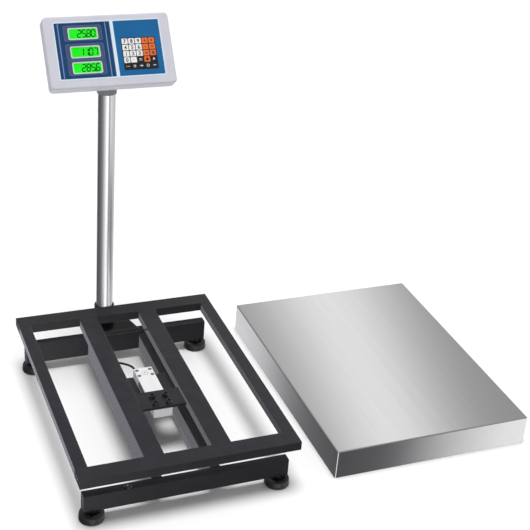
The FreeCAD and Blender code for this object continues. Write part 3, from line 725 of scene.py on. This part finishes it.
# --- load cell and its cable -------------------------------------------------------------------------
def cell_details():
    low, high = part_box("load_cell")
    middle = (low + high) / 2
    bm = bmesh.new()
    bm.from_mesh(NODES["load_cell"].data)
    bare = [FINISH["cell_aluminium"]]
    beam = piece("load_cell_beam", bm, "base", bare, ["load_cell"], 0.4 * MM)
    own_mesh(beam)
    slot_y = -18 * MM
    bm = bmesh.new()
    for side in (-1, 1):
        before = len(bm.verts)
        rings = [
            rounded(66 * MM - 2 * i * MM, 15 * MM - 2 * i * MM, 6 * MM, z * MM)
            for i, z in ((0, -1), (0, 0.5), (0.3, 0.9), (1.0, 1.1), (2.5, 1.0))
        ]
        loft(bm, rings)
        face = Vector((low.x if side < 0 else high.x, slot_y, middle.z))
        spin = Matrix.Rotation(math.pi / 2 * side, 4, "Y") @ Matrix.Rotation(math.pi / 2, 4, "Z")
        moved(bm, Matrix.Translation(face) @ spin, before)
    piece("cell_potting", bm, "base", [DETAIL["potting"]])

    bm = bmesh.new()
    ring_y = high.y - 20 * MM
    for outer, inner in ((7.2, 6.7), (2.2, 1.7)):
        outline = [circle(outer * MM, 0, 48, 0, ring_y), circle(inner * MM, 0, 48, 0, ring_y)]
        plate(bm, outline, high.z, high.z + 0.12 * MM)
    piece("cell_ring_mark", bm, "base", [DETAIL["potting"]])

    bm = bmesh.new()
    sleeve = [(2.6, -1), (5.5, 0), (5.5, 3), (4.6, 3.6), (4.2, 7), (3.0, 10), (2.6, 11)]
    lathe(bm, [(r * MM, z * MM) for r, z in sleeve], 40)
    turn = Vector((0, 1, 0)).to_track_quat("Z", "Y").to_matrix().to_4x4()
    moved(bm, Matrix.Translation((-13 * MM, high.y, 96 * MM)) @ turn)
    piece("cell_gland", bm, "base", [FINISH["cable_jacket"]])


CABLE_ROUTE = [
    (-13, 57, 96), (-13, 78, 96), (-24, 98, 93), (-41, 118, 88), (-54, 142, 78), (-59, 170, 67.5),
    (-60, 200, 65.5), (-61, 224, 70), (-60, 246, 82), (-57, 268, 85.5), (-61, 290, 85), (-60, 309, 85.5),
    (-52, 325, 86.5), (-39, 333, 87), (-24, 333, 87),
]


def cell_cable():
    curve = bpy.data.curves.new("cell_cable_jacket", "CURVE")
    curve.dimensions = "3D"
    curve.bevel_depth = 2.5 * MM
    curve.bevel_resolution = 6
    curve.resolution_u = 8
    curve.use_fill_caps = True
    spline = curve.splines.new("NURBS")
    spline.points.add(len(CABLE_ROUTE) - 1)
    for point, place in zip(spline.points, CABLE_ROUTE):
        point.co = (*(Vector(place) * MM), 1)
    spline.order_u = 3
    spline.use_endpoint_u = True
    curve.materials.append(FINISH["cable_jacket"])
    cable = bpy.data.objects.new("cell_cable_jacket", curve)
    bpy.context.scene.collection.objects.link(cable)
    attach(cable, "base")
    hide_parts("cell_cable")


# --- feet --------------------------------------------------------------------------------------------
def foot(corner):
    pad_low, pad_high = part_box("foot_pad_" + corner)
    x, y = (pad_low.x + pad_high.x) / 2, (pad_low.y + pad_high.y) / 2
    radius, height = (pad_high.x - pad_low.x) / 2, pad_high.z
    bm = bmesh.new()
    # Each point of the pad's profile: how far inside its radius, and its height.
    skirt = [(3.2, 0), (1.2, 0.5), (0, 2.6), (0.1, 5), (0.9, 5.6), (0.9, 6.4), (0.3, 7.0)]
    profile = [(radius - inset * MM, z * MM) for inset, z in skirt]
    shoulder = [(1.0, 3), (1.8, 1.0), (3.4, 0)]
    profile += [(radius - inset * MM, height - down * MM) for inset, down in shoulder]
    well = [(18.0, 0), (17.0, 0.6), (16.2, 4.6), (11.2, 5), (9.9, 4.6), (9.5, 5.4), (9.5, 9)]
    profile += [(r * MM, height - down * MM) for r, down in well]
    lathe(bm, profile, 72, x, y)
    ribs = 10
    for i in range(ribs):
        before = len(bm.verts)
        block(bm, Vector((10.6, -0.9, 11.6)) * MM, Vector((16.9, 0.9, 15.6)) * MM, 0.4 * MM)
        spin = Matrix.Rotation(2 * math.pi * (i + 0.5) / ribs, 4, "Z")
        moved(bm, Matrix.Translation((x, y, 0)) @ spin, before)
    rubber = [FINISH["foot_rubber"]]
    piece("foot_pad_moulded_" + corner, bm, "pad_" + corner, rubber, ["foot_pad_" + corner])

    low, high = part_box("foot_stud_" + corner)
    bm = bmesh.new()
    sides = 48
    top = low.z + 8 * MM
    nut = ((low.z, 7.6), (low.z + 0.6 * MM, 9), (top - 0.6 * MM, 9), (top, 7.6))
    loft(bm, [hexagon(7.36 * MM, z, sides, 0, limit * MM, x, y) for z, limit in nut])
    turns = around(sides)
    pitch, steps = 1.5 * MM, 6
    count = int((high.z - top - 1.5 * MM) / pitch * steps)
    rings = []
    for i in range(count + 1):
        z = top + i * pitch / steps
        phase = [(z / pitch - a / (2 * math.pi)) % 1 for a in turns[::2]]
        radii = [(4.45 + (0.5 - abs(p - 0.5))) * MM for p in phase]
        ring = zip(radii, turns[::2])
        rings.append([Vector((x + r * math.cos(a), y + r * math.sin(a), z)) for r, a in ring])
    rings.append(circle(4.2 * MM, high.z, sides // 2, x, y))
    loft(bm, rings)
    piece("foot_stud_threaded_" + corner, bm, "stud_" + corner, [FINISH["black_screw"]],
          ["foot_stud_" + corner])


# --- stainless cover ---------------------------------------------------------------------------------
def cover():
    low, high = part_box("platform_cover")
    middle, size = (low + high) / 2, high - low
    bend, sheet = 2.6 * MM, 1.2 * MM
    turns = quarter_turn(6)

    def ring(inset, radius, z):
        return rounded(size.x - 2 * inset, size.y - 2 * inset, radius, z, middle.x, middle.y, 6)

    def skin(inset, radius):
        rings = [ring(0.5 * sheet, bend - 0.5 * sheet, low.z), ring(inset, radius, low.z + 0.4 * MM)]
        for a in turns:
            corner = max(radius * math.cos(a), 0.1 * MM)
            z = high.z - bend + radius * math.sin(a)
            rings.append(ring(inset + radius * (1 - math.cos(a)), corner, z))
        loft(bm, rings, bottom=False)

    bm = bmesh.new()
    skin(0, bend)
    skin(sheet, bend - sheet)
    bmesh.ops.remove_doubles(bm, verts=bm.verts, dist=0.000001)
    piece("cover_stainless", bm, "cover", [FINISH["cover_steel"]], ["platform_cover"])


# --- indicator head ----------------------------------------------------------------------------------
def face_frame():
    """A frame on the head's face: x right, y up the face, z out towards the user, from the face's middle."""
    inward = next(Vector(j["axis"]) for j in frame["joints"] if j["name"] == "key_row1_col1").normalized()
    right, out = Vector((1, 0, 0)), -inward
    turn = Matrix((right, out.cross(right), out)).transposed().to_4x4()
    back = turn.inverted()
    points = [back @ v.co for v in NODES["head_front_bezel"].data.vertices]
    low, high = corners(points)
    centre = Vector(((low.x + high.x) / 2, (low.y + high.y) / 2, high.z))
    return turn @ Matrix.Translation(centre)


FACE = face_frame()


def on_face(node):
    """Low and high corners of a CAD node measured in the face's own frame."""
    back = FACE.inverted()
    return corners([back @ v.co for v in NODES[node].data.vertices])


def head_piece(name, bm, materials, replaces=(), bevel=None, body="head"):
    moved(bm, FACE)
    return piece(name, bm, body, materials, replaces, bevel)


def window_rect(low, high, margin, radius, z):
    middle, size = (low + high) / 2, high - low
    return rounded(size.x + 2 * margin, size.y + 2 * margin, radius, z, middle.x, middle.y)


def bezel():
    low, high = on_face("head_front_bezel")
    size = high - low
    edge, corner = 4.5 * MM, 9 * MM
    windows = [on_face(n) for n in ("display_window", "keypad_panel")]
    turns = quarter_turn(6)
    rings = [rounded(size.x, size.y, corner, low.z, steps=8)]
    rings += [
        rounded(size.x - 2 * inset, size.y - 2 * inset, corner - inset, z, steps=8)
        for inset, z in [(edge * (1 - math.cos(a)), high.z - edge * (1 - math.sin(a))) for a in turns]
    ]
    bm = bmesh.new()
    layers = loft(bm, rings, bottom=False, top=False)
    rim = layers[-1]
    edges = [bm.edges.get((a, b)) for a, b in zip(rim, rim[1:] + rim[:1])]
    for window in windows:
        levels = ((1.3, 2.0, 0), (0.5, 1.4, -0.7), (0.35, 1.2, -4))
        chamfer = [window_rect(*window, margin * MM, radius * MM, z * MM) for margin, radius, z in levels]
        mouth = loft(bm, chamfer, bottom=False, top=False)[0]
        edges += [bm.edges.get((a, b)) for a, b in zip(mouth, mouth[1:] + mouth[:1])]
    bmesh.ops.triangle_fill(bm, edges=edges, use_beauty=True)
    inner = 2.5 * MM
    lip = [rounded(size.x - 2 * inset, size.y - 2 * inset, corner - inset, z, steps=8)
           for inset, z in ((0, low.z), (inner, low.z), (inner, low.z + 6 * MM))]
    loft(bm, lip, bottom=False, top=False)
    bmesh.ops.remove_doubles(bm, verts=bm.verts, dist=0.000001)
    plastic = [FINISH["housing_plastic"]]
    head_piece("head_bezel_moulded", bm, plastic, ["head_front_bezel"])

    bm = bmesh.new()
    left, right = windows
    frame_low = Vector((left[0].x, left[0].y, 0))
    frame_high = Vector((right[1].x, right[1].y, 0))
    # A pale trim runs round both windows and across the bridge between them. Its colour is partly its own and
    # partly a painted reflection along the window edges.
    outlines = [window_rect(frame_low, frame_high, 3.4 * MM, 3 * MM, 0)]
    outlines += [window_rect(*window, 0.9 * MM, 1.6 * MM, 0) for window in windows]
    plate(bm, outlines, -0.1 * MM, 0.35 * MM)
    head_piece("window_surround", bm, [DETAIL["window_trim_and_chamfer_glint"]], bevel=0.15 * MM)


HEAD_DEPTH = 34 * MM


def rear_shell_details():
    soften(NODES["head_rear_shell"], 0.5 * MM)
    soften(NODES["head_neck"], 0.9 * MM, 3)
    soften(NODES["tilt_bolt"], 0.8 * MM, 3)
    low, high = on_face("head_rear_shell")
    bm = bmesh.new()
    for x in (low.x + 16 * MM, high.x - 16 * MM):
        for y in (low.y + 15 * MM, high.y - 15 * MM):
            before = len(bm.verts)
            lathe(bm, [(r * MM, z * MM) for r, z in ((3.6, -0.2), (3.5, 0.5), (2.6, 1.1), (0.9, 1.3))], 36)
            for spin in (0, math.pi / 2):
                made = len(bm.verts)
                block(bm, Vector((-2.2, -0.35, 1.05)) * MM, Vector((2.2, 0.35, 1.45)) * MM, 0.15 * MM, 1)
                moved(bm, Matrix.Rotation(spin, 4, "Z"), made)
            moved(bm, Matrix.Translation((x, y, -HEAD_DEPTH)) @ Matrix.Rotation(math.pi, 4, "X"), before)
    head_piece("housing_screws", bm, [FINISH["zinc_steel"], FINISH["black_screw"]])


SEGMENTS = {
    "0": "abcdef", "1": "bc", "2": "abged", "3": "abgcd", "4": "fgbc",
    "5": "afgcd", "6": "afgedc", "7": "abc", "8": "abcdefg", "9": "abcdfg",
}
READINGS = ("25.80", "11.07", "285.6")


def bar(bm, x, y, length, thick, upright, low, high, slant):
    """One lens-shaped stroke of a seven-stroke digit."""
    half, t = length / 2, thick / 2
    shape = [(-half, 0), (-half + t, t), (half - t, t), (half, 0), (half - t, -t), (-half + t, -t)]
    points = [(x + v, y + u) if upright else (x + u, y + v) for u, v in shape]
    loft(bm, [[Vector((px + slant * py, py, z)) for px, py in points] for z in (low, high)], material=3)


def digits(bm, text, x, y, z, wide, tall):
    """A reading in seven-stroke digits whose right end is at x and whose middle height is y."""
    before = len(bm.verts)
    pitch, thick, slant = wide * 1.36, wide * 0.30, 0.09
    half = tall / 2
    spots = {
        "a": (0, half, False), "g": (0, 0, False), "d": (0, -half, False),
        "f": (-wide / 2, half / 2, True), "b": (wide / 2, half / 2, True),
        "e": (-wide / 2, -half / 2, True), "c": (wide / 2, -half / 2, True),
    }
    spot = -wide / 2
    for mark in reversed(text):
        if mark == ".":
            block_x = spot + pitch / 2
            loft(bm, [[Vector((block_x + slant * -half + p.x, -half + p.y, height))
                       for p in circle(thick * 0.6, 0, 12)] for height in (z, z + 0.12 * MM)], material=3)
            continue
        for stroke in SEGMENTS[mark]:
            dx, dy, upright = spots[stroke]
            length = (half if upright else wide) * 0.92
            bar(bm, spot + dx, dy, length, thick, upright, z, z + 0.12 * MM, slant)
        spot -= pitch
    moved(bm, Matrix.Translation((x, y, 0)), before)


def display():
    low, high = on_face("display_window")
    middle, size = (low + high) / 2, high - low
    glass = solids_on_face("lcd_modules")
    panel_face = high.z
    bm = bmesh.new()
    holes = [window_rect(*box, 0.3 * MM, 0.8 * MM, 0) for box in glass]
    plate(bm, [rounded(size.x, size.y, 1.0 * MM, 0, middle.x, middle.y)] + holes, low.z, panel_face)
    # Two round ridges run up the panel. Their pale blue is a painted highlight along them.
    for x in (low.x + 7.0 * MM, high.x - 9.0 * MM):
        block(bm, Vector((x - 1.1 * MM, low.y + 0.6 * MM, panel_face - 0.5 * MM)),
              Vector((x + 1.1 * MM, high.y - 0.6 * MM, panel_face + 0.45 * MM)), 0.43 * MM, 1)
    blues = [FINISH["display_blue"], DETAIL["ridge_highlight_and_outline_blue"]]
    head_piece("display_panel", bm, blues, ["display_window"])

    bm = bmesh.new()
    for box in glass:
        field_low = box[0] - Vector((10, 3.6, 0)) * MM
        field_high = box[1] + Vector((10, 6.4, 0)) * MM
        field = window_rect(field_low, field_high, 0, 4 * MM, 0)
        glass_hole = window_rect(*box, 1.9 * MM, 2.2 * MM, 0)
        border = window_rect(field_low, field_high, 0.35 * MM, 4 * MM, 0)
        plate(bm, [field, glass_hole], panel_face, panel_face + 0.12 * MM, 0)
        # A thin printed border in the same pale blue runs round each field.
        plate(bm, [border, field], panel_face, panel_face + 0.06 * MM, 1)
    head_piece("display_fields", bm, [DETAIL["field_tint"], DETAIL["ridge_highlight_and_outline_blue"]])

    bm = bmesh.new()
    for box, reading in zip(sorted(glass, key=lambda b: -b[0].y), READINGS):
        centre = (box[0] + box[1]) / 2
        wide, tall = box[1].x - box[0].x, box[1].y - box[0].y
        block(bm, box[0], Vector((box[1].x, box[1].y, panel_face - 1.0 * MM)), 0.5 * MM)
        rings = [
            rounded(wide - 2 * i * MM, tall - 2 * i * MM, 2.4 * MM, panel_face + z * MM, centre.x, centre.y)
            for i, z in ((0.2, -1.2), (0.2, -0.35), (0.35, -0.2))
        ]
        loft(bm, rings, material=1)
        outer = window_rect(*box, 1.9 * MM, 3.6 * MM, 0)
        inner = window_rect(*box, -0.5 * MM, 2.2 * MM, 0)
        plate(bm, [outer, inner], panel_face - 0.1 * MM, panel_face + 0.75 * MM, 2)
        digits(bm, reading, box[1].x - 4 * MM, centre.y, panel_face - 0.2 * MM, 7.2 * MM, 14.5 * MM)
    colours = [FINISH["battery_case"], FINISH["lcd_green"], DETAIL["lcd_rim"], DETAIL["lcd_digit"]]
    head_piece("lcd_screens", bm, colours, ["lcd_modules"])


def solids_on_face(node):
    """Low and high corners of each of the node's solids in the face's frame."""
    back = FACE.inverted()
    found = []
    for low, high in solids(node):
        points = [v.co for v in NODES[node].data.vertices
                  if all(low[k] - 1e-6 <= v.co[k] <= high[k] + 1e-6 for k in range(3))]
        found.append(corners([back @ p for p in points]))
    return found


def key_cell(row, column):
    return on_face("key_row%d_col%d" % (row, column))


def keypad():
    soften(NODES["keypad_panel"], 0.2 * MM)
    panel = on_face("keypad_panel")
    first, last = key_cell(1, 1), key_cell(5, 5)
    low, high = Vector((first[0].x, last[0].y, 0)), Vector((last[1].x, first[1].y, 0))
    bm = bmesh.new()
    holes = [window_rect(*key_cell(r, c), 0.2 * MM, 1.3 * MM, 0) for r in range(1, 6) for c in range(1, 6)]
    plate(bm, [window_rect(low, high, 1.6 * MM, 1.8 * MM, 0)] + holes, panel[1].z, panel[1].z + 0.25 * MM)
    head_piece("keypad_grid", bm, [FINISH["key_black"]])


# Digits on the white keys, and plain signs on the others.
LEGENDS = (
    ("7", "8", "9", "+", "×"),
    ("4", "5", "6", "-", "÷"),
    ("1", "2", "3", "=", "%"),
    ("0", ".", "bars", "circle", "triangle"),
    ("dots", "square", "arrow", "ring", "dash"),
)


def text_shape(mark, tall):
    """The outline of a character as a flat mesh, centred on the origin."""
    curve = bpy.data.curves.new("legend", "FONT")
    curve.body = mark
    curve.size = tall * 1.45
    curve.extrude = 0.06 * MM
    curve.offset = 0.22 * MM
    item = bpy.data.objects.new("legend", curve)
    mesh = bpy.data.meshes.new_from_object(item)
    bpy.data.objects.remove(item)
    low, high = ([f(v.co[k] for v in mesh.vertices) for k in range(2)] for f in (min, max))
    mesh.transform(Matrix.Translation((-(low[0] + high[0]) / 2, -(low[1] + high[1]) / 2, 0)))
    return mesh


def sign_shape(bm, kind, z, material):
    """A plain sign in low relief."""
    low, high = z - 0.06 * MM, z + 0.06 * MM

    def ring(radius, sides, turn=0.0, x=0.0):
        turns = [2 * math.pi * i / sides + turn for i in range(sides)]
        return [Vector((x + radius * math.cos(a), radius * math.sin(a), 0)) for a in turns]

    shapes = {
        "circle": [[ring(3 * MM, 32)]],
        "ring": [[ring(3.1 * MM, 32), ring(2.1 * MM, 32)]],
        "triangle": [[ring(3.2 * MM, 3, math.pi / 2)]],
        "arrow": [[ring(2.6 * MM, 3, 0, 1.4 * MM)], [rounded(4 * MM, 1.2 * MM, 0.2 * MM, 0, -2 * MM)]],
        "square": [[rounded(4.6 * MM, 4.6 * MM, 0.5 * MM), rounded(2.8 * MM, 2.8 * MM, 0.3 * MM)]],
        "dash": [[rounded(6 * MM, 1.3 * MM, 0.4 * MM)]],
        "bars": [[rounded(6 * MM, 1.1 * MM, 0.3 * MM, 0, 0, y * MM)] for y in (-1.5, 1.5)],
        "dots": [[ring(0.9 * MM, 16, 0, x * MM)] for x in (-3, 0, 3)],
    }
    for outlines in shapes[kind]:
        plate(bm, outlines, low, high, material)


def key(row, column):
    name = "key_row%d_col%d" % (row, column)
    low, high = on_face(name)
    middle, size = (low + high) / 2, high - low
    slot = next(p["material_slot"] for p in RECORD["subparts"] if p["node"] == name)
    bm = bmesh.new()
    top = high.z
    # Each level of the cap: how far inside the key's outline, how far below its top, and its corner radius.
    cap = (
        (0, 0.85, 1.0), (0.18, 0.4, 1.0), (0.55, 0.1, 1.1), (1.1, 0, 1.2), (2.2, 0.1, 1.3), (3.6, 0.18, 1.0),
    )
    levels = [(0, low.z, 1.0)] + [(inset, top - down * MM, r) for inset, down, r in cap]
    rings = [rounded(size.x - 2 * i * MM, size.y - 2 * i * MM, r * MM, z, steps=4) for i, z, r in levels]
    loft(bm, rings)
    mark = LEGENDS[row - 1][column - 1]
    z = top + 0.01 * MM
    if len(mark) == 1:
        glyph = text_shape(mark, 7.4 * MM if mark.isdigit() else 6.0 * MM)
        before = len(bm.verts)
        faces = set(bm.faces)
        bm.from_mesh(glyph)
        for face in set(bm.faces) - faces:
            face.material_index = 1
        moved(bm, Matrix.Translation((0, 0, z)), before)
    else:
        sign_shape(bm, mark, z, 1)
    moved(bm, Matrix.Translation((middle.x, middle.y, 0)))
    legend = DETAIL["legend_light"] if slot == "key_black" else DETAIL["legend_dark"]
    button = "button_row%d_col%d" % (row, column)
    head_piece(button, bm, [FINISH[slot], legend], [name], body=name + "_body")


def board_parts():
    """Chips and capacitors on the main board."""
    low = on_face("main_board")[0]
    bm = bmesh.new()
    for x, y, wide, tall in ((-70, 20, 22, 22), (-20, -25, 14, 9), (30, 18, 18, 8), (80, -30, 12, 12)):
        block(bm, Vector((x - wide / 2, y - tall / 2, 0)) * MM + Vector((0, 0, low.z - 1.6 * MM)),
              Vector((x + wide / 2, y + tall / 2, 0)) * MM + Vector((0, 0, low.z)), 0.3 * MM)
        for side in (-1, 1):
            for k in range(int(wide / 2.54)):
                px = x - wide / 2 + 1.6 + 2.54 * k
                py = y + side * (tall / 2 + 0.6)
                block(bm, Vector((px - 0.4, py - 0.7, 0)) * MM + Vector((0, 0, low.z - 0.5 * MM)),
                      Vector((px + 0.4, py + 0.7, 0)) * MM + Vector((0, 0, low.z)), 0.1 * MM, 1, 2)
    for i in range(4):
        before = len(bm.verts)
        lathe(bm, soft_profile(4 * MM, 0, 9 * MM, 0.6 * MM), 28)
        spot = Vector((-95 * MM, -40 * MM + 14 * MM * i, low.z - 9 * MM))
        moved(bm, Matrix.Translation(spot), before)
    head_piece("board_components", bm, [FINISH["battery_case"], DETAIL["solder"]])


# --- everything together -----------------------------------------------------------------------------
bpy.context.scene.view_settings.view_transform = "Standard"
add_camera()
build_world()
soft_sun((0.04, 0.03, -1), 2.5, 24)
add_floor()

paint_nodes()
frame_edges()
tube_plugs()
weld_beads()
bubble_level()
column()
collar()
all_screws()
cell_details()
cell_cable()
for corner in ("front_left", "front_right", "rear_left", "rear_right"):
    foot(corner)
cover()
bezel()
rear_shell_details()
display()
keypad()
for key_row in range(1, 6):
    for key_column in range(1, 6):
        key(key_row, key_column)
board_parts()
